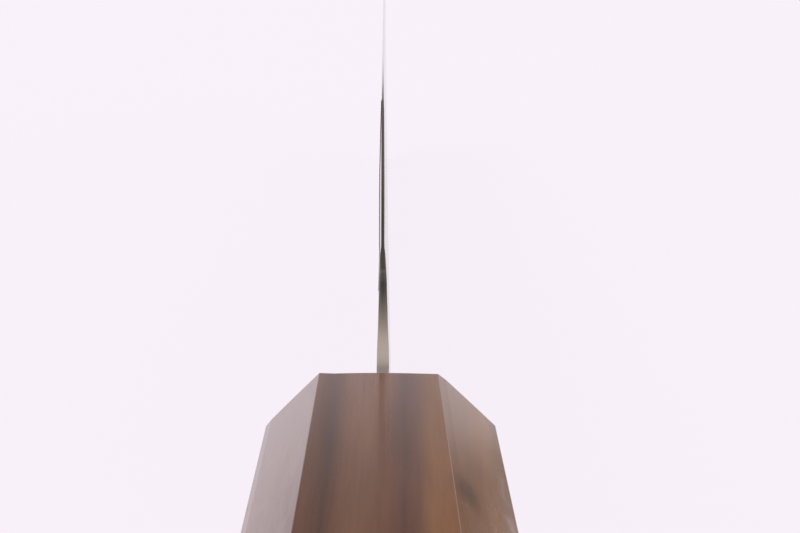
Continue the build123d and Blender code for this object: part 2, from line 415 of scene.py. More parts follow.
# %% Profile of the grind
# Depth from the edge as a share of the blade's height, and thickness as a share of the spine's
grind = (
    # The thin zone behind the edge
    (0.0, 0.0085), (0.010, 0.011), (0.036, 0.020), (0.055, 0.035), (0.075, 0.054), (0.100, 0.080),
    # The step where the outer layers start, and their swell
    (0.125, 0.144), (0.138, 0.170), (0.172, 0.220), (0.220, 0.261), (0.260, 0.292), (0.300, 0.303),
    # The hollow middle
    (0.440, 0.318), (0.490, 0.352), (0.515, 0.390), (0.537, 0.420), (0.555, 0.432), (0.575, 0.458),
    # The shoulder, and the even rise to the spine
    (0.592, 0.512), (0.605, 0.536), (0.625, 0.545), (0.680, 0.600), (1.0, 1.0),
)
blend_window_share = 0.010
blend_samples = 9
edge_window_share = 0.8


def grind_profile(depth):
    """Thickness share of the profile, averaged over the window but exact at the edge."""
    steps = np.linspace(-1, 1, blend_samples)
    window = np.minimum(blend_window_share, np.abs(depth) * edge_window_share)
    tables = [np.interp(depth + step * window, *zip(*grind)) for step in steps]
    return np.mean(tables, axis=0)


print("half way down, the heel is", round(spine_thickness * float(grind_profile(0.5)), 2), "mm thick")

# %% [markdown]
# The hard layer makes the edge alone, down to the line where the outer layers start.
# From there it keeps about the thickness that it has on the line, and grows slowly
# towards the spine. No stone uncovers steel evenly, so the line wanders. Four waves of
# different lengths, added up, give it an uneven swing without any random numbers.

# %% Thickness of the blade and of its middle layer
spine_taper_share = 0.68
grind_taper_share = 0.30
tang_end_thickness_share = 0.85
core_spine_share = 0.26
line_depth_share = 0.12
# Length and swing of each wave in mm, and its start in radians
line_waves = ((61.0, 0.50, 0.4), (27.0, 0.34, 2.1), (13.5, 0.22, 4.0), (7.3, 0.11, 1.2))


def full_thickness(y, depth):
    """Thickness of a blank that isn't ground: it thins towards the tip."""
    along = (np.maximum(y, shoulder) - heel) / blade_length
    near = 1 - grind_taper_share * along
    far = 1 - spine_taper_share * along
    in_tang = np.interp(y, (tang_end, shoulder), (tang_end_thickness_share, 1.0))
    return spine_thickness * in_tang * (near + (far - near) * depth)


def lamination_line(y):
    """Depth share of the wandering line where the outer layers end."""
    swing = sum(size * np.sin(2 * math.pi * y / length + start) for length, size, start in line_waves)
    return line_depth_share + swing / blade_height


def outer_thickness(y, z):
    """Thickness of the whole blade at a point of the side view."""
    depth = depth_share(y, z)
    return full_thickness(y, depth) * grind_profile(depth)


def core_thickness(y, z):
    """Thickness of the middle layer past the line. It grows slowly towards the spine."""
    depth = depth_share(y, z)
    line = lamination_line(y)
    below = np.clip((depth - line) / (1 - line), 0, 1)
    at_line = full_thickness(y, line) * grind_profile(line)
    at_spine = full_thickness(y, 1.0) * core_spine_share
    return at_line + (at_spine - at_line) * below ** 2


print("the spine is", round(float(full_thickness(tip, 1.0)), 2), "mm thick at the tip")

# %% [markdown]
# A maker rounds the spine and the back of the heel, where a finger rests, and breaks
# every other long edge. Each of these eases is a distance from one border of the side
# view, over which the faces curve inwards.

# %% Eased borders
def curve_in(distance, reach, drop):
    """How far a face has curved inwards at a distance from a border."""
    inside = np.clip(1 - distance / reach, 0, 1)
    return drop * (1 - np.sqrt(1 - inside ** 2))


spine_round = 0.32
slant_round = 0.18
neck_round = 0.06
heel_ease_reach = 1.4
heel_ease_start = 1.4
border_ease_share = 0.96
border_tolerance = 0.01


def eased_in(y, z, cladding):
    """Total inward curve of one face, given the thickness of the outer layer there."""
    spine_round_here = spine_round * full_thickness(y, 1.0) / spine_thickness
    drop = curve_in(z - spine_line(y), spine_round_here, spine_round_here)
    slant = np.array((spine_corner, 0.0)) - tip_point
    from_slant = ((y - tip_point[0]) * slant[1] - (z - tip_point[1]) * slant[0]) / np.linalg.norm(slant)
    slant_drop = np.minimum(slant_round, border_ease_share * cladding)
    drop = np.maximum(drop, curve_in(np.abs(from_slant), slant_round, slant_drop))
    fades_in = np.clip((z - choil_start) / heel_ease_start, 0, 1)
    heel_drop = border_ease_share * cladding * fades_in * (3 - 2 * fades_in) * fades_in
    above_choil = np.where(z > choil_start, y - heel, np.inf)
    drop = np.maximum(drop, curve_in(above_choil, heel_ease_reach, heel_drop))
    from_arc = np.hypot(y - (heel - choil_radius), z - choil_start) - choil_radius
    from_neck = np.where(y < heel - choil_radius, choil_start - choil_radius - z, from_arc)
    from_neck = np.where((z <= choil_start) & (y > shoulder - border_tolerance), from_neck, np.inf)
    return np.maximum(drop, curve_in(from_neck, neck_round, neck_round))


print("the spine is rounded by", spine_round, "mm, the back of the heel over", heel_ease_reach, "mm")

# %% [markdown]
# The grid has three parts that share their borders: the blade from heel to slant, the
# neck under the round of the choil, and the tang. Rows run lengthwise. One of them
# follows the lamination line, one passes the start of the round, and two meet the
# edges of the tang, so the three parts join point to point.

# %% Rows and columns of the side view
def spread(start, stop, count):
    """Evenly spaced shares, without the last."""
    return list(np.linspace(start, stop, count, endpoint=False))


def nearest_row(share):
    """Number of the row that lies at a depth share."""
    return int(np.argmin(np.abs(row_shares - share)))


choil_share = float(depth_share(heel, choil_start))
neck_rows = ((neck_height - tang_root_height) / 2 / neck_height,
             (neck_height + tang_root_height) / 2 / neck_height)
tang_top_share, tang_bottom_share = (choil_share + (1 - choil_share) * row for row in neck_rows)
edge_rows = [0.0, 0.005]
edge_rows_end = 0.010
choil_gaps = (0.0, 0.01, 0.03, 0.06, 0.10, 0.16, 0.26)
choil_gaps_end = 0.5
edge_zone_rows = 9
clad_zone_rows = 22
tang_rows = 22
joining_rows = 8
# Rows crowd where a face curves: past the choil, and on the round of the spine
ease_parts = (1.0, 0.76, 0.54, 0.34, 0.18, 0.07, 0.015)
ease_rows = [1 - spine_round / blade_height * part for part in ease_parts]
row_shares = np.array(
    edge_rows
    + spread(edge_rows_end, line_depth_share, edge_zone_rows)
    + spread(line_depth_share, choil_share, clad_zone_rows)
    + [choil_share + step / blade_height for step in choil_gaps]
    + spread(choil_share + choil_gaps_end / blade_height, tang_top_share, joining_rows)
    + spread(tang_top_share, tang_bottom_share, tang_rows)
    + spread(tang_bottom_share, ease_rows[0], joining_rows)
    + ease_rows + [1.0]
)
line_row = nearest_row(line_depth_share)
choil_row = nearest_row(choil_share)
tang_top_row = nearest_row(tang_top_share)
tang_bottom_row = nearest_row(tang_bottom_share)

heel_steps = [0.0, 0.008, 0.03, 0.08, 0.16, 0.28, 0.45, 0.7, 1.0, 1.4]
heel_steps_end = 2.0
slant_steps_start = 1.6
slant_steps = [0.9, 0.5, 0.28, 0.15, 0.06, 0.0]
middle_columns = 150
column_shares = np.array(
    [step / blade_length for step in heel_steps]
    + spread(heel_steps_end / blade_length, 1 - slant_steps_start / blade_length, middle_columns)
    + [1 - step / blade_length for step in slant_steps]
)
print("rows", len(row_shares), "columns of the blade", len(column_shares))

# %% [markdown]
# The rows of the blade bend near the edge, because one of them follows the wandering
# line. A few rounds of measuring and moving bring each point to the depth that its row
# asks for. Neck and tang don't reach the line, so their points are just spaced evenly
# between their borders.

# %% Points of blade, neck and tang
wander_shares = (0.04, line_depth_share, 0.24)
measuring_rounds = 8
neck_columns = 4
choil_columns = 25
tang_columns = 26


def blade_part():
    """Points of the blade from heel to slant, rows first."""
    edge_y = heel + (tip - heel) * column_shares
    spine_y = heel + (spine_corner - heel) * column_shares
    edge_z, spine_z = edge_line(edge_y), spine_line(spine_y)
    wander = np.interp(row_shares, wander_shares, (0, 1, 0))[:, None]
    nominal = row_shares[:, None]
    down = np.repeat(nominal, len(column_shares), axis=1)
    for _ in range(measuring_rounds):
        y = edge_y + (spine_y - edge_y) * down
        z = edge_z + (spine_z - edge_z) * down
        wanted = nominal + wander * (lamination_line(y) - line_depth_share)
        down = down + wanted - depth_share(y, z)
    down[0], down[-1] = 0.0, 1.0
    return edge_y + (spine_y - edge_y) * down, edge_z + (spine_z - edge_z) * down


def neck_part():
    """Points of the neck, from the shoulders to the heel, below the round of the choil."""
    round_start = heel - choil_radius
    straight = np.linspace(shoulder, round_start, neck_columns, endpoint=False)
    angles = np.linspace(math.pi / 2, 0, choil_columns)
    top_y = np.concatenate([straight, round_start + choil_radius * np.cos(angles)])
    straight_z = np.full(neck_columns, choil_start - choil_radius)
    top_z = np.concatenate([straight_z, choil_start - choil_radius * np.sin(angles)])
    turns = (0, neck_columns, len(top_y) - 1)
    bottom_y = np.interp(np.arange(len(top_y)), turns, (shoulder, round_start, heel))
    down = (row_shares[choil_row:, None] - choil_share) / (1 - choil_share)
    return top_y + (bottom_y - top_y) * down, top_z + (spine_line(bottom_y) - top_z) * down


def tang_part():
    """Points of the tang, from its end to the shoulders."""
    y = np.linspace(tang_end, shoulder, tang_columns)
    half = np.interp(y, (tang_end, shoulder), (tang_end_height / 2, tang_root_height / 2))
    rows = row_shares[tang_top_row:tang_bottom_row + 1, None]
    down = (rows - tang_top_share) / (tang_bottom_share - tang_top_share)
    return np.repeat(y[None], len(rows), axis=0), tang_middle + half * (1 - 2 * down)


blade_y, blade_z = blade_part()
neck_y, neck_z = neck_part()
tang_y, tang_z = tang_part()
print("points", blade_y.size + neck_y.size + tang_y.size)

# %% [markdown]
# Each point now gets two half thicknesses on either side of the middle plane, one for
# the hard layer and one for the whole blade. The sides share the thickness a little
# unequally, as on a blade ground by hand.

# %% Faces of the three layers
# Depth share, and the right side's share of the thickness
right_shares = (
    (0.0, 0.57), (0.12, 0.60), (0.40, 0.585), (0.43, 0.555), (0.455, 0.50), (0.48, 0.46), (0.51, 0.49),
)
line_tolerance = 1e-6


def face_halves(y, z, side):
    """Half thickness of the middle layer and of the whole blade on one side (-1 or 1)."""
    right = np.interp(depth_share(y, z), *zip(*right_shares))
    share = right if side < 0 else 1 - right
    whole = share * outer_thickness(y, z)
    core = np.minimum(share * core_thickness(y, z), whole)
    core = np.where(depth_share(y, z) < lamination_line(y) + line_tolerance, whole, core)
    whole = whole - eased_in(y, z, whole - core)
    return np.minimum(core, whole), whole


print("the edge is", round(1000 * float(outer_thickness(*heel_point))), "thousandths of a mm thick")

# %% [markdown]
# A layer is a closed slab between two such faces. The three parts of the grid are joined
# where their points lie in the same place, each small square of the grid becomes a quad
# on either face, and the open border between the faces is closed with a rim. Layers
# that touch use the same rule for the face between them, so no gap shows.

# %% Slab between two faces
same_point_digits = 3


def slab(parts, near_of, far_of):
    """Closed mesh between two faces over the same grid. The near face has the smaller x."""
    places = np.concatenate([np.stack([y, z], axis=-1).reshape(-1, 2) for y, z in parts])
    rounded = np.round(places, same_point_digits)
    _, first, shared = np.unique(rounded, axis=0, return_index=True, return_inverse=True)
    shared = shared.reshape(-1)
    near_face, start = [], 0
    for part_y, _ in parts:
        index = shared[start:start + part_y.size].reshape(part_y.shape)
        start += part_y.size
        corners = (index[:-1, :-1], index[:-1, 1:], index[1:, 1:], index[1:, :-1])
        near_face.append(np.stack(corners, axis=-1).reshape(-1, 4))
    near_face = np.concatenate(near_face)
    count = len(first)
    far_face = near_face[:, ::-1] + count
    sides = {(int(quad[k]), int(quad[(k + 1) % 4])) for quad in near_face for k in range(4)}
    rim = [(b, a, a + count, b + count) for a, b in sorted(sides) if (b, a) not in sides]
    y, z = places[first].T
    x = np.concatenate([near_of(y, z), far_of(y, z)])
    points = np.stack([x, np.tile(y, 2), np.tile(z, 2)], axis=-1)
    mesh = bpy.data.meshes.new("slab")
    mesh.from_pydata((points * MM).tolist(), [], near_face.tolist() + far_face.tolist() + rim)
    return mesh


print("points in the same place agree to", same_point_digits, "digits of a mm")

# %% [markdown]
# How crisp an edge looks depends on its normals. Faces that meet at a steep angle are
# split there, and all others are shaded smoothly. A big flat face decides how its border
# with a small round is shaded, or the round would pull a false sheen over the flat.

# %% Shading of a mesh
sharp_degrees = 32
flat_face_weight = 100


def even_shaded(piece):
    """Lets a big flat face, not the small round next to it, decide how their border is shaded.

    The modifier can't tell areas below a square millimetre apart in metres, so it works on
    the mesh in millimetres.
    """
    piece.data.transform(Matrix.Scale(1 / MM, 4))
    weighted = piece.modifiers.new("weighted", "WEIGHTED_NORMAL")
    weighted.keep_sharp = True
    weighted.weight = flat_face_weight
    shaded = bpy.data.meshes.new_from_object(piece.evaluated_get(bpy.context.evaluated_depsgraph_get()))
    piece.modifiers.remove(weighted)
    shaded.transform(Matrix.Scale(MM, 4))
    shaded.name = piece.name
    piece.data = shaded


print("faces that meet at more than", sharp_degrees, "degrees are split")

# %% [markdown]
# Every fine mesh goes through the same last steps. Points in the same place are merged,
# so that the shell is closed, and its faces are turned outwards. Then it is shaded, gets
# its finish, and takes the place of its CAD node. A closed shell has no open edges, and
# its volume should be near that of the CAD solid, so both are printed.

# %% Finished piece
doubles_within = 0.00001


def finished(name, mesh, finish, replaced):
    """Merges a mesh's doubles, turns its faces out and puts it in place of a CAD node."""
    shell = bmesh.new()
    shell.from_mesh(mesh)
    bmesh.ops.remove_doubles(shell, verts=shell.verts, dist=doubles_within * MM)
    open_edges = sum(1 for edge in shell.edges if not edge.is_manifold)
    if shell.calc_volume(signed=True) < 0:
        bmesh.ops.reverse_faces(shell, faces=shell.faces)
    volume = shell.calc_volume(signed=True) / MM ** 3
    shell.to_mesh(mesh)
    shell.free()
    mesh.name = name
    mesh.shade_smooth()
    mesh.set_sharp_from_angle(angle=math.radians(sharp_degrees))
    mesh.materials.clear()
    mesh.materials.append(finish)
    mesh.polygons.foreach_set("material_index", [0] * len(mesh.polygons))
    piece = bpy.data.objects.new(name, mesh)
    scene.collection.objects.link(piece)
    even_shaded(piece)
    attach(piece, "root")
    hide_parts(replaced)
    print(name, len(mesh.polygons), "faces,", round(volume), "mm3,", open_edges, "open edges")
    return piece


print("doubles are merged within", doubles_within, "mm")

# %% [markdown]
# ## Steel
#
# The outer layers are soft stainless steel. Stones were drawn along the blade, which
# leaves fine lengthwise lines and a slight haze, but seen along the blade the faces
# still mirror the backdrop and melt into it. The hard middle layer is polished further.
# The rounds of neck and spine, which face up and down, were only rubbed with paper and
# stay satin. Each piece stores how satin each of its faces is. All of it is metal, so
# its colour is that of the mirror.
#
# Both patterns are noise, stretched along the blade: narrow for the lines and wide for
# the haze. Real scratches are a hundredth of a millimetre wide, and wouldn't show here.
# So the lines are drawn about ten times as wide as real ones.

# %% Steel finishes
satin_tone = "#c9c5c5"
satin_roughness = 0.34
haze_width = 9
haze_length = 22
haze_share = 0.35
noise_low = 0.25
noise_high = 0.75


def grain_noise(tree, place, width, length, detail):
    """Noise with grains of a width and a length along the knife, in the unit of the place."""
    grains = node(tree, "ShaderNodeMapping", {"Vector": place, "Scale": (1 / width, 1 / length, 1 / width)})
    noise = node(tree, "ShaderNodeTexNoise", {"Vector": grains.outputs[0], "Scale": 1.0, "Detail": detail})
    return noise.outputs


def brushed_steel(name, colours, line_width, line_length, roughness, roughness_swing, line_depth):
    """Steel with lengthwise lines, and satin where its piece says so. Widths and lengths in mm."""
    steel = bpy.data.materials.new(name)
    steel.use_nodes = True
    tree = steel.node_tree
    tree.nodes.clear()
    place = node(tree, "ShaderNodeTexCoord").outputs["Object"]
    satin = node(tree, "ShaderNodeAttribute", attribute_name="satin").outputs["Fac"]
    lines = grain_noise(tree, place, line_width * MM, line_length * MM, detail=3.0)["Fac"]
    haze = grain_noise(tree, place, haze_width * MM, haze_length * MM, detail=2.0)["Fac"]
    mixed = node(tree, "ShaderNodeMix", {0: haze_share, 2: lines, 3: haze}).outputs[0]
    rough = node(tree, "ShaderNodeMapRange", {0: mixed, 1: noise_low, 2: noise_high,
                                              3: roughness - roughness_swing, 4: roughness + roughness_swing})
    all_rough = node(tree, "ShaderNodeMix", {0: satin, 2: rough.outputs[0], 3: satin_roughness})
    shade = node(tree, "ShaderNodeValToRGB", {0: mixed}, stops=[(0.2, colours[0]), (0.8, colours[1])])
    tone = node(tree, "ShaderNodeMix", {0: satin, MIX_A: shade.outputs[0], MIX_B: linear_colour(satin_tone)},
                data_type="RGBA")
    bump = node(tree, "ShaderNodeBump", {"Height": lines, "Distance": line_depth * MM, "Strength": 1.0})
    metal = node(tree, "ShaderNodeBsdfPrincipled", {
        "Base Color": tone.outputs[MIX_RESULT], "Metallic": 1.0, "Roughness": all_rough.outputs[0],
        "Normal": bump.outputs[0]})
    node(tree, "ShaderNodeOutputMaterial", {0: metal.outputs[0]})
    return steel


# Soft stainless steel off a fine stone is light and a little warm, with a blurred mirror.
# Its lines are drawn wider than they are, so that they show
hazy_steel = brushed_steel("hazy_stainless_cladding", ("#d8d6d4", "#e8e6e4"), line_width=0.12, line_length=14,
                           roughness=0.14, roughness_swing=0.04, line_depth=0.0004)
# Hard steel off a finer stone is darker and bluer, with a clearer mirror and finer lines
polished_steel = brushed_steel("polished_core_steel", ("#b6bcbf", "#c7cdd0"), line_width=0.07, line_length=9,
                               roughness=0.07, roughness_swing=0.02, line_depth=0.0002)
print("steel finishes:", hazy_steel.name, polished_steel.name)

# %% [markdown]
# All three layers come from the same grid. The outer two start at the row that follows
# the lamination line. The knife lies with its edge up, so its right side is the one with
# negative x, on the left of the picture.

# %% Blade pieces
satin_from = 0.2
satin_span = 0.5


def mark_satin(piece):
    """Stores how far each face points up or down. Those faces get the satin finish."""
    mesh = piece.data
    normals = np.empty(len(mesh.polygons) * 3)
    mesh.polygons.foreach_get("normal", normals)
    up_or_down = np.abs(normals.reshape(-1, 3)[:, 2])
    satin = mesh.attributes.new("satin", "FLOAT", "FACE")
    satin.data.foreach_set("value", np.clip((up_or_down - satin_from) / satin_span, 0, 1))


def face(side, layer):
    """Rule for the x of a face on one side (-1 or 1): of the middle layer (0) or the blade (1)."""
    return lambda y, z: side * face_halves(y, z, side)[layer]


neck_and_tang = [(neck_y, neck_z), (tang_y, tang_z)]
whole_view = [(blade_y, blade_z)] + neck_and_tang
clad_view = [(blade_y[line_row:], blade_z[line_row:])] + neck_and_tang
layers = (
    ("core_steel", whole_view, face(-1, 0), face(1, 0), polished_steel, "core_steel"),
    ("right_cladding", clad_view, face(-1, 1), face(-1, 0), hazy_steel, "cladding_steel"),
    ("left_cladding", clad_view, face(1, 0), face(1, 1), hazy_steel, "cladding_steel"),
)
for layer_name, view, near_of, far_of, finish, slot in layers:
    mark_satin(finished(layer_name + "_fine", slab(view, near_of, far_of), finish, layer_name))

# %% [markdown]
# ## Handle
#
# An octagonal handle starts as a square bar. Its four long corners are planed off at
# 45 degrees, the eight edges that this leaves are eased with sandpaper, and sanding
# also leaves each facet a hair crowned. The bar widens a little towards the butt. It
# has two pieces, a ferrule in front and the body behind it.
# A hand plane is never quite even: the front of this handle sits a fifth of a millimetre
# to the left of the blade, and its top facet a little further.

# %% Handle sizes, in mm
front_width = 22.14
front_height = 24.14
front_corner = 5.4
butt_width = 24.5
butt_height = 26.5
butt_corner = 4.4
front_round = 0.30
joint_round = 0.10
butt_round = 1.6
facet_crown = 0.12
chamfer_crown = 0.02
edge_round = 0.16
front_shift = -0.21
top_shift = -0.13
straight_from_butt = 20.0
ring_count = 34
end_ring_count = 5
facet_cuts = 7
edge_round_points = 4
print("handle", round(ferrule_face - butt_face, 1), "mm long")

# %% [markdown]
# A handle's shape follows a few rules, so a Geometry Nodes tree makes it, with its places
# and rounds as inputs. The section is made the way a maker planes it: a rectangle, a
# fillet of one segment that cuts its corners, more points on each facet, which are moved
# a hair inwards near its ends, and a small round fillet on every edge.

# %% Handle tree: the section
handle_tree = bpy.data.node_groups.new("planed_octagon", "GeometryNodeTree")
handle_inputs = {}
for name in ("Front Place", "Back Place", "Front Round", "Back Round"):
    handle_inputs[name] = handle_tree.interface.new_socket(
        name=name, in_out="INPUT", socket_type="NodeSocketFloat")
handle_inputs["Wood"] = handle_tree.interface.new_socket(
    name="Wood", in_out="INPUT", socket_type="NodeSocketMaterial")
handle_tree.interface.new_socket(name="Handle", in_out="OUTPUT", socket_type="NodeSocketGeometry")
given = node(handle_tree, "NodeGroupInput").outputs

bar = node(handle_tree, "GeometryNodeCurvePrimitiveQuadrilateral",
           {"Width": front_width, "Height": front_height})
planed = node(handle_tree, "GeometryNodeFilletCurve", {0: bar.outputs[0], "Count": 1, "Radius": front_corner},
              mode="POLY")
finer = node(handle_tree, "GeometryNodeSubdivideCurve", {0: planed.outputs[0], "Cuts": facet_cuts})
# Points are numbered on round the octagon, starting with a corner's facet. So their number
# tells the facet, even for a corner and odd for a side, and the place across that facet
points_per_facet = facet_cuts + 1
number = node(handle_tree, "GeometryNodeInputIndex").outputs[0]
on_facet = node(handle_tree, "ShaderNodeMath", {0: number, 1: points_per_facet}, operation="MODULO")
across_facet = node(handle_tree, "ShaderNodeMapRange", {0: on_facet.outputs[0], 1: 0, 2: points_per_facet,
                                                        3: 0, 4: math.pi})
crown = node(handle_tree, "ShaderNodeMath", {0: across_facet.outputs[0]}, operation="SINE")
below_crown = node(handle_tree, "ShaderNodeMath", {0: crown.outputs[0], 1: 1.0}, operation="SUBTRACT")
facet_number = node(handle_tree, "ShaderNodeMath", {0: number, 1: points_per_facet}, operation="DIVIDE")
whole_number = node(handle_tree, "ShaderNodeMath", {0: facet_number.outputs[0]}, operation="FLOOR")
odd = node(handle_tree, "ShaderNodeMath", {0: whole_number.outputs[0], 1: 2}, operation="MODULO")
full_crown = node(handle_tree, "ShaderNodeMapRange", {0: odd.outputs[0], 3: chamfer_crown, 4: facet_crown})
crown_height = node(handle_tree, "ShaderNodeMath", {0: below_crown.outputs[0], 1: full_crown.outputs[0]},
                    operation="MULTIPLY")
section_place = node(handle_tree, "GeometryNodeInputPosition").outputs[0]
outward = node(handle_tree, "ShaderNodeVectorMath", {0: section_place}, operation="NORMALIZE")
lift = node(handle_tree, "ShaderNodeVectorMath", {0: outward.outputs[0], "Scale": crown_height.outputs[0]},
            operation="SCALE")
crowned = node(handle_tree, "GeometryNodeSetPosition", {0: finer.outputs[0], "Offset": lift.outputs[0]})
section = node(handle_tree, "GeometryNodeFilletCurve",
               {0: crowned.outputs[0], "Count": edge_round_points, "Radius": edge_round,
                "Limit Radius": True}, mode="POLY")
print("section tree has", len(handle_tree.nodes), "nodes")

# %% [markdown]
# The section is swept along a line of length 1, which only counts the rings. How far a
# ring has come tells its real place along the handle, and whether it belongs to a
# rounded end. There the rings follow a quarter circle: the last reach furthest out, and
# draw in by the whole radius.

# %% Handle tree: rings along the handle
path = node(handle_tree, "GeometryNodeCurvePrimitiveLine", {"Start": (0, 0, 0), "End": (0, 0, 1)})
rings = node(handle_tree, "GeometryNodeResampleCurve", {0: path.outputs[0], "Count": ring_count})
tube = node(handle_tree, "GeometryNodeCurveToMesh",
            {0: rings.outputs[0], 1: section.outputs[0], "Fill Caps": True})
point = node(handle_tree, "ShaderNodeSeparateXYZ", {0: section_place}).outputs
end_share = end_ring_count / (ring_count - 1)


def rounded_end(inner_share, face_share, radius):
    """How far the rings of one end reach past its round's start, and how far they draw in."""
    angle = node(handle_tree, "ShaderNodeMapRange", {0: point["Z"], 1: inner_share, 2: face_share,
                                                     3: 0.0, 4: math.pi / 2})
    sine = node(handle_tree, "ShaderNodeMath", {0: angle.outputs[0]}, operation="SINE")
    cosine = node(handle_tree, "ShaderNodeMath", {0: angle.outputs[0]}, operation="COSINE")
    lost = node(handle_tree, "ShaderNodeMath", {0: 1.0, 1: cosine.outputs[0]}, operation="SUBTRACT")
    reach = node(handle_tree, "ShaderNodeMath", {0: sine.outputs[0], 1: radius}, operation="MULTIPLY")
    inward = node(handle_tree, "ShaderNodeMath", {0: lost.outputs[0], 1: radius}, operation="MULTIPLY")
    return reach.outputs[0], inward.outputs[0]


front_reach, front_inward = rounded_end(end_share, 0.0, given["Front Round"])
back_reach, back_inward = rounded_end(1 - end_share, 1.0, given["Back Round"])
front_start = node(handle_tree, "ShaderNodeMath", {0: given["Front Place"], 1: given["Front Round"]},
                   operation="SUBTRACT")
back_start = node(handle_tree, "ShaderNodeMath", {0: given["Back Place"], 1: given["Back Round"]},
                  operation="ADD")
between = node(handle_tree, "ShaderNodeMapRange", {0: point["Z"], 1: end_share, 2: 1 - end_share,
                                                   3: front_start.outputs[0], 4: back_start.outputs[0]})
moved_front = node(handle_tree, "ShaderNodeMath", {0: between.outputs[0], 1: front_reach}, operation="ADD")
ring_place = node(handle_tree, "ShaderNodeMath", {0: moved_front.outputs[0], 1: back_reach},
                  operation="SUBTRACT").outputs[0]
drawn_in = node(handle_tree, "ShaderNodeMath", {0: front_inward, 1: back_inward}, operation="ADD").outputs[0]
print("rings", ring_count, "of them", end_ring_count, "on each round")

# %% [markdown]
# The place of a ring also tells how wide and high it is, and how much of its corners is
# cut off. Flats and corners change at different rates towards the butt, so each point is
# measured from the middle: the part of the way that lies on the flat is stretched to the
# flat's size there, and the rest to the corner's.

# %% Handle tree: width, height and corners
def along_handle(front_size, butt_size):
    """A size that changes evenly along the handle, as an output of the tree."""
    ranged = node(handle_tree, "ShaderNodeMapRange", {0: ring_place, 1: ferrule_face, 2: butt_face,
                                                      3: front_size, 4: butt_size}, clamp=False)
    return ranged.outputs[0]


def across(axis, front_half, butt_half):
    """One coordinate of the section, stretched so that flat and corner each keep their size."""
    size = node(handle_tree, "ShaderNodeMath", {0: point[axis]}, operation="ABSOLUTE").outputs[0]
    way = node(handle_tree, "ShaderNodeMath", {0: point[axis]}, operation="SIGN").outputs[0]
    flat = along_handle(front_half - front_corner, butt_half - butt_corner)
    on_flat = node(handle_tree, "ShaderNodeMapRange", {0: size, 1: 0.0, 2: front_half - front_corner,
                                                       3: 0.0, 4: flat})
    past = node(handle_tree, "ShaderNodeMath", {0: size, 1: front_half - front_corner}, operation="SUBTRACT")
    past_flat = node(handle_tree, "ShaderNodeMath", {0: past.outputs[0], 1: 0.0}, operation="MAXIMUM")
    corner = along_handle(1.0, butt_corner / front_corner)
    on_corner = node(handle_tree, "ShaderNodeMath", {0: past_flat.outputs[0], 1: corner},
                     operation="MULTIPLY")
    whole = node(handle_tree, "ShaderNodeMath", {0: on_flat.outputs[0], 1: on_corner.outputs[0]},
                 operation="ADD")
    half_here = along_handle(front_half, butt_half)
    lost = node(handle_tree, "ShaderNodeMath", {0: drawn_in, 1: half_here}, operation="DIVIDE")
    kept = node(handle_tree, "ShaderNodeMath", {0: 1.0, 1: lost.outputs[0]}, operation="SUBTRACT")
    inset = node(handle_tree, "ShaderNodeMath", {0: whole.outputs[0], 1: kept.outputs[0]},
                 operation="MULTIPLY")
    signed = node(handle_tree, "ShaderNodeMath", {0: inset.outputs[0], 1: way}, operation="MULTIPLY")
    return signed.outputs[0]


wide = across("X", front_width / 2, butt_width / 2)
high = across("Y", front_height / 2, butt_height / 2)
print("butt", butt_width, "x", butt_height, "mm")

# %% [markdown]
# Last, each ring is laid in place: its lowest facet on the floor, its front a little to
# the left, and its top facet a little further. The tree ends with real geometry and the
# wood on it, because the mesh is taken out of the tree below.

# %% Handle tree: the finished handle
level = node(handle_tree, "ShaderNodeMath", {0: high,
                                             1: along_handle(front_height / 2, butt_height / 2)},
             operation="ADD")
near_top = node(handle_tree, "ShaderNodeMapRange", {0: point["Y"], 1: front_height / 2 - front_corner,
                                                    2: front_height / 2, 3: 0.0, 4: top_shift})
shift = node(handle_tree, "ShaderNodeMapRange", {0: ring_place, 1: joint_face,
                                                 2: butt_face + straight_from_butt,
                                                 3: front_shift, 4: 0.0})
moved = node(handle_tree, "ShaderNodeMath", {0: near_top.outputs[0], 1: shift.outputs[0]}, operation="ADD")
sideways = node(handle_tree, "ShaderNodeMath", {0: wide, 1: moved.outputs[0]}, operation="ADD")
laid = node(handle_tree, "ShaderNodeCombineXYZ", {0: sideways.outputs[0], 1: ring_place, 2: level.outputs[0]})
metres = node(handle_tree, "ShaderNodeVectorMath", {0: laid.outputs[0], "Scale": MM}, operation="SCALE")
shaped = node(handle_tree, "GeometryNodeSetPosition", {0: tube.outputs[0], "Position": metres.outputs[0]})
real = node(handle_tree, "GeometryNodeRealizeInstances", {0: shaped.outputs[0]})
wooden = node(handle_tree, "GeometryNodeSetMaterial", {0: real.outputs[0], "Material": given["Wood"]})
node(handle_tree, "NodeGroupOutput", {0: wooden.outputs[0]})
print("handle tree has", len(handle_tree.nodes), "nodes")

# %% [markdown]
# ## Wood
#
# The wood is a brown, oiled hardwood of walnut kind. Its growth rings are wide and
# soft, and show on a planed facet as streaks that run lengthwise and waver a little.
# Fine fibres and open pores, cut along their length, show as short dark dashes. On
# the butt the same pattern shows as end grain, because it fills the solid.

# %% Grain and streaks of the wood
# The grain wanders slowly. Widths, lengths and reach in mm
streak_span = 26.0
wander_width = 20
wander_length = 70
wander_reach = 3.0


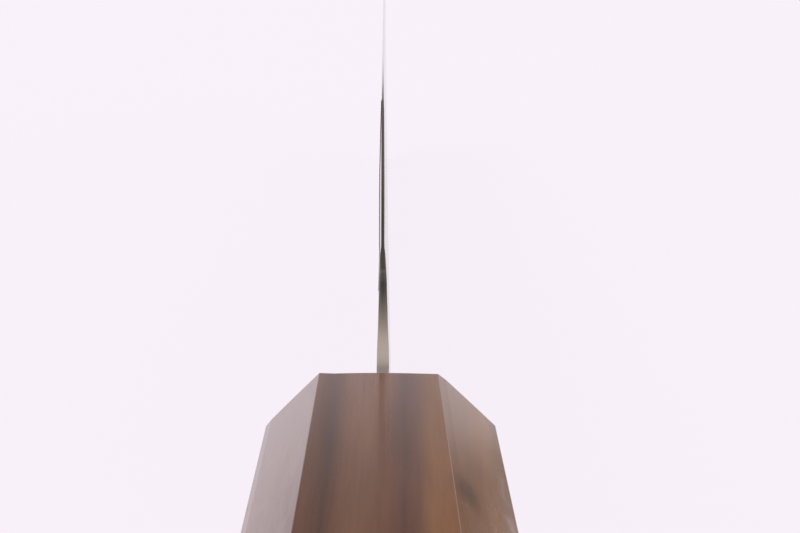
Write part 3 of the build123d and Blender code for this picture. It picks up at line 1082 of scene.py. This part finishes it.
def wavy_grain(tree, place, start):
    """Places in the plank in mm, which wander by about a millimetre as the grain does."""
    plank = node(tree, "ShaderNodeMapping", {"Vector": place, "Location": (0, start, 0),
                                             "Scale": (1 / MM, 1 / MM, 1 / MM)}).outputs[0]
    wander = grain_noise(tree, plank, wander_width, wander_length, detail=2.0)["Color"]
    centred = node(tree, "ShaderNodeVectorMath", {0: wander, 1: (0.5, 0.5, 0.5)}, operation="SUBTRACT")
    shift = node(tree, "ShaderNodeVectorMath", {0: centred.outputs[0], "Scale": wander_reach},
                 operation="SCALE")
    return node(tree, "ShaderNodeVectorMath", {0: plank, 1: shift.outputs[0]}, operation="ADD").outputs[0]


def streak_colour(tree, grain, streaks, lean):
    """Colour of the heartwood's streaks, which stand nearly upright in the handle."""
    part = node(tree, "ShaderNodeSeparateXYZ", {0: grain}).outputs
    depth = node(tree, "ShaderNodeMath", {0: part["Z"], 1: front_height}, operation="SUBTRACT")
    leaning = node(tree, "ShaderNodeMath", {0: depth.outputs[0], 1: lean}, operation="MULTIPLY")
    over = node(tree, "ShaderNodeMath", {0: part["X"], 1: leaning.outputs[0]}, operation="ADD")
    share = node(tree, "ShaderNodeMapRange", {0: over.outputs[0], 1: -streak_span / 2, 2: streak_span / 2})
    stops = [(0.5 + across_mm / streak_span, colour) for across_mm, colour in streaks]
    return node(tree, "ShaderNodeValToRGB", {0: share.outputs[0]}, stops=stops).outputs[0]


print("streaks spread over", streak_span, "mm")

# %% [markdown]
# Here and there a pin knot, where a thin twig grew, makes an oval dark spot. A knot is a
# distance from its centre, measured in sizes of the knot, turned into a darker tone.

# %% Pin knots
# A knot is darkest inside this share of its size
knot_core = 0.2
knot_tone = 0.52


def knotted(tree, place, tone, knots):
    """A tone, darkened in pin knots, which are ovals with a centre and a size in mm."""
    for centre, size in knots:
        away = node(tree, "ShaderNodeVectorMath", {0: place, 1: tuple(Vector(centre) * MM)},
                    operation="SUBTRACT")
        scaled = node(tree, "ShaderNodeVectorMath",
                      {0: away.outputs[0], 1: tuple(1 / (part * MM) for part in size)}, operation="MULTIPLY")
        far = node(tree, "ShaderNodeVectorMath", {0: scaled.outputs[0]}, operation="LENGTH")
        dark = node(tree, "ShaderNodeMapRange", {0: far.outputs["Value"], 1: knot_core, 2: 1.0,
                                                 3: knot_tone, 4: 1.0}, interpolation_type="SMOOTHSTEP")
        tone = node(tree, "ShaderNodeMath", {0: tone, 1: dark.outputs[0]}, operation="MULTIPLY").outputs[0]
    return tone


print("a knot takes the tone down to", knot_tone)

# %% [markdown]
# Dark and light come in bands and fine fibres. Oil soaks into the pores, which stay a
# touch darker and rougher than the wood between them, and leaves a thin sheen on top. A
# light coat over the wood gives that sheen, since the wood itself is duller.

# %% Oiled wood
# Widths and lengths in mm, and how far the tone swings from 1
band_width, band_length, band_swing = 4, 35, 0.20
fibre_width, fibre_length, fibre_swing = 0.3, 14, 0.06
pore_width, pore_length = 0.09, 2.5
# Values of the noise between which tones change and pores appear
grain_low, grain_high = 0.3, 0.7
pore_from, pore_full = 0.60, 0.74
pore_tone = "#2b1d18"
pore_strength = 0.14
wood_roughness = 0.17
pore_roughness = 0.26
fibre_height = 0.002


def oiled_wood(name, streaks, lean, start, knots=()):
    """Solid wood pattern along Y.

    Streaks are (place across the handle in mm, colour). They lean with depth, and the
    pattern starts at another place of the plank for each piece. Knots are (centre, size).
    """
    wood = bpy.data.materials.new(name)
    wood.use_nodes = True
    tree = wood.node_tree
    tree.nodes.clear()
    place = node(tree, "ShaderNodeTexCoord").outputs["Object"]
    grain = wavy_grain(tree, place, start)
    bands = grain_noise(tree, grain, band_width, band_length, detail=2.0)["Fac"]
    fibres = grain_noise(tree, grain, fibre_width, fibre_length, detail=2.0)["Fac"]
    pore_noise = grain_noise(tree, grain, pore_width, pore_length, detail=1.0)["Fac"]
    band_tone = node(tree, "ShaderNodeMapRange", {0: bands, 1: grain_low, 2: grain_high,
                                                  3: 1 - band_swing, 4: 1 + band_swing})
    fibre_tone = node(tree, "ShaderNodeMapRange", {0: fibres, 1: grain_low, 2: grain_high,
                                                   3: 1 - fibre_swing, 4: 1 + fibre_swing})
    tone = node(tree, "ShaderNodeMath", {0: band_tone.outputs[0], 1: fibre_tone.outputs[0]},
                operation="MULTIPLY").outputs[0]
    heartwood = streak_colour(tree, grain, streaks, lean)
    toned = node(tree, "ShaderNodeVectorMath", {0: heartwood, "Scale": knotted(tree, place, tone, knots)},
                 operation="SCALE")
    pores = node(tree, "ShaderNodeMapRange", {0: pore_noise, 1: pore_from, 2: pore_full}).outputs[0]
    pore_share = node(tree, "ShaderNodeMath", {0: pores, 1: pore_strength}, operation="MULTIPLY")
    pored = node(tree, "ShaderNodeMix", {0: pore_share.outputs[0], MIX_A: toned.outputs[0],
                                         MIX_B: linear_colour(pore_tone)}, data_type="RGBA")
    rough = node(tree, "ShaderNodeMapRange", {0: pores, 1: 0.0, 2: 1.0, 3: wood_roughness, 4: pore_roughness})
    height = node(tree, "ShaderNodeMath", {0: fibres, 1: pores}, operation="SUBTRACT")
    bump = node(tree, "ShaderNodeBump", {"Height": height.outputs[0], "Distance": fibre_height * MM,
                                         "Strength": 1.0})
    timber = node(tree, "ShaderNodeBsdfPrincipled", {
        "Base Color": pored.outputs[MIX_RESULT], "Roughness": rough.outputs[0], "Normal": bump.outputs[0],
        "IOR": 1.5, "Coat Weight": 0.4, "Coat Roughness": 0.12})
    node(tree, "ShaderNodeOutputMaterial", {0: timber.outputs[0]})
    return wood


print("pores", pore_width, "x", pore_length, "mm")

# %% [markdown]
# Ferrule and body are sawn from two places of a plank, so their streaks differ. The ones
# of the ferrule are set where the photograph shows them, from the left chamfer over the
# dark streaks of the top facet to the orange one on its right.

# %% Wood of ferrule and body
ferrule_streaks = ((-12.0, "#765243"), (-6.2, "#6f4c39"), (-4.6, "#56392a"), (-3.2, "#76513c"),
                   (-1.4, "#7a5640"), (0.6, "#754e3b"), (2.0, "#5b3b2e"), (3.2, "#694635"),
                   (4.3, "#835a39"), (6.2, "#855a39"), (9.0, "#9c6e46"), (12.0, "#8e6443"))
knot_behind_face = 25.6
ferrule_knots = (((6.4, ferrule_face - knot_behind_face, 23.2), (2.1, 4.2, 2.1)),)
# Planed and oiled walnut from near the heart: reddish brown and streaked, with a soft sheen
ferrule_wood = oiled_wood("oiled_walnut_ferrule", ferrule_streaks, lean=0.15, start=0, knots=ferrule_knots)
body_streaks = ((-11.0, "#79543f"), (-7.0, "#8e674c"), (-5.2, "#614133"), (-1.5, "#815a3f"),
                (1.0, "#91684a"), (3.4, "#644534"), (5.0, "#886047"), (10.0, "#76503c"))
# The same wood from a lighter part of the plank, so the joint between the two shows faintly
body_wood = oiled_wood("oiled_walnut_body", body_streaks, lean=-0.2, start=900)
print("wood finishes:", ferrule_wood.name, body_wood.name)

# %% [markdown]
# The tree is now used twice, with other places and rounds each time, and its result is
# kept as a plain mesh. Where ferrule and body meet, both are rounded by only a tenth of
# a millimetre, because they were planed as one bar.

# %% Ferrule and body of the handle
def planed_piece(name, front, back, round_front, round_back, wood):
    """One piece of the handle as a plain mesh, from the tree."""
    base = bpy.data.objects.new(name, bpy.data.meshes.new(name))
    scene.collection.objects.link(base)
    planing = base.modifiers.new("planing", "NODES")
    planing.node_group = handle_tree
    sizes = {"Front Place": front, "Back Place": back, "Front Round": round_front, "Back Round": round_back,
             "Wood": wood}
    for key, value in sizes.items():
        planing[handle_inputs[key].identifier] = value
    made = bpy.data.meshes.new_from_object(base.evaluated_get(bpy.context.evaluated_depsgraph_get()))
    bpy.data.objects.remove(base)
    return made


ferrule_mesh = planed_piece("ferrule_blank", ferrule_face, joint_face, front_round, joint_round, ferrule_wood)
body_mesh = planed_piece("body_blank", joint_face, butt_face, joint_round, butt_round, body_wood)
print("ferrule blank", len(ferrule_mesh.polygons), "faces, body blank", len(body_mesh.polygons))

# %% [markdown]
# The dowel, which takes the tang, sits in a round bore through both pieces. The front
# wall of the ferrule has a narrow slot where the tang goes in. Their cutters have the
# same sizes as in the CAD model, so the pieces under the wood still fit.

# %% Cutters for bores and slot
dowel_diameter = 15.0
dowel_clearance = 0.05
dowel_end_gap = 0.5
bore_radius = dowel_diameter / 2 + dowel_clearance
bore_end = dowel_end - dowel_end_gap
bore_facets = 96
slot_width = 3.2
slot_gap = 0.4
overrun = 1.0


def tang_half(y):
    """Half height of the tang at a place, also past its ends."""
    share = (y - tang_end) / (shoulder - tang_end)
    return (tang_end_height + (tang_root_height - tang_end_height) * share) / 2


def bore_cutter(front, back):
    """A round bar along Y between two places."""
    shape = bmesh.new()
    middle = Vector((0, (front + back) / 2, tang_middle)) * MM
    lay_down = Matrix.Translation(middle) @ Matrix.Rotation(math.pi / 2, 4, "X")
    bmesh.ops.create_cone(shape, cap_ends=True, segments=bore_facets, radius1=bore_radius * MM,
                          radius2=bore_radius * MM, depth=(front - back) * MM, matrix=lay_down)
    cutter = bpy.data.meshes.new("bore_cutter")
    shape.to_mesh(cutter)
    shape.free()
    return cutter


def slot_cutter(front, back):
    """A flat bar round the tang between two places."""
    front_half, back_half = tang_half(front) + slot_gap, tang_half(back) + slot_gap
    rows = ((front, tang_middle - front_half), (back, tang_middle - back_half),
            (back, tang_middle + back_half), (front, tang_middle + front_half))
    corners = [(x * slot_width / 2 * MM, y * MM, z * MM) for x in (-1, 1) for y, z in rows]
    sides = [(k, (k + 1) % 4, (k + 1) % 4 + 4, k + 4) for k in range(4)]
    cutter = bpy.data.meshes.new("slot_cutter")
    cutter.from_pydata(corners, [], [(3, 2, 1, 0), (4, 5, 6, 7)] + sides)
    return cutter


ferrule_cutters = [bore_cutter(dowel_face, joint_face - overrun),
                   slot_cutter(ferrule_face + overrun, dowel_face - overrun)]
body_cutters = [bore_cutter(joint_face + overrun, bore_end)]
print("bore", 2 * bore_radius, "mm across, slot", slot_width, "mm wide")

# %% [markdown]
# A Boolean modifier takes each cutter away from the blank. The result is kept as a plain
# mesh, and cutters and blank are removed, so that only the finished piece stays.

# %% Bored and slotted pieces
def cut_out(mesh, cutters):
    """The mesh without the cutters' shapes."""
    base = bpy.data.objects.new("blank", mesh)
    scene.collection.objects.link(base)
    tools = []
    for cutter in cutters:
        tool = bpy.data.objects.new(cutter.name, cutter)
        scene.collection.objects.link(tool)
        tools.append(tool)
        cut = base.modifiers.new(cutter.name, "BOOLEAN")
        cut.operation = "DIFFERENCE"
        cut.solver = "EXACT"
        cut.object = tool
    made = bpy.data.meshes.new_from_object(base.evaluated_get(bpy.context.evaluated_depsgraph_get()))
    for extra in tools + [base]:
        bpy.data.objects.remove(extra)
    return made


finished("ferrule_fine", cut_out(ferrule_mesh, ferrule_cutters), ferrule_wood, "ferrule")
finished("handle_body_fine", cut_out(body_mesh, body_cutters), body_wood, "handle_body")

# %% [markdown]
# ## Hidden pieces
#
# Three pieces keep their CAD shape, because little or nothing of them shows: the filler
# in the mouth of the ferrule, the dowel and the resin round the tang. They only get a
# finish. Each is one noise pattern in two tones, so one loop makes all three.

# %% Finish of the hidden pieces
hidden_finishes = (
    # Dark paste of wax and wood dust: matt, with fine grains
    ("mouth_seal", "wax_and_dust_filler", 0.25, 0.25, ((0.35, "#3b2a20"), (0.65, "#5a4231")),
     {"Roughness": 0.62, "IOR": 1.45}),
    # Turned magnolia: pale, dry and even, with a faint grain along it
    ("tang_dowel", "pale_magnolia_dowel", 0.5, 12.0, ((0.3, "#b79c74"), (0.7, "#cfb78f")),
     {"Roughness": 0.70, "IOR": 1.45}),
    # Cast epoxy resin: amber, glossy and half clear, with clouds of trapped air
    ("tang_adhesive", "amber_epoxy_resin", 3.0, 3.0, ((0.3, "#a8661c"), (0.7, "#bd7d2c")),
     {"Roughness": 0.18, "IOR": 1.55, "Transmission Weight": 0.5}),
)
for node_name, finish_name, grain_width, grain_length, grain_stops, surface in hidden_finishes:
    finish = bpy.data.materials.new(finish_name)
    finish.use_nodes = True
    tree = finish.node_tree
    tree.nodes.clear()
    place = node(tree, "ShaderNodeTexCoord").outputs["Object"]
    grains = grain_noise(tree, place, grain_width * MM, grain_length * MM, detail=3.0)["Fac"]
    tone = node(tree, "ShaderNodeValToRGB", {0: grains}, stops=grain_stops)
    body = node(tree, "ShaderNodeBsdfPrincipled", {"Base Color": tone.outputs[0], **surface})
    node(tree, "ShaderNodeOutputMaterial", {0: body.outputs[0]})
    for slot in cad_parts[node_name].material_slots:
        slot.material = finish
    print(node_name, "wears", finish_name, "in", len(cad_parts[node_name].material_slots), "slot")
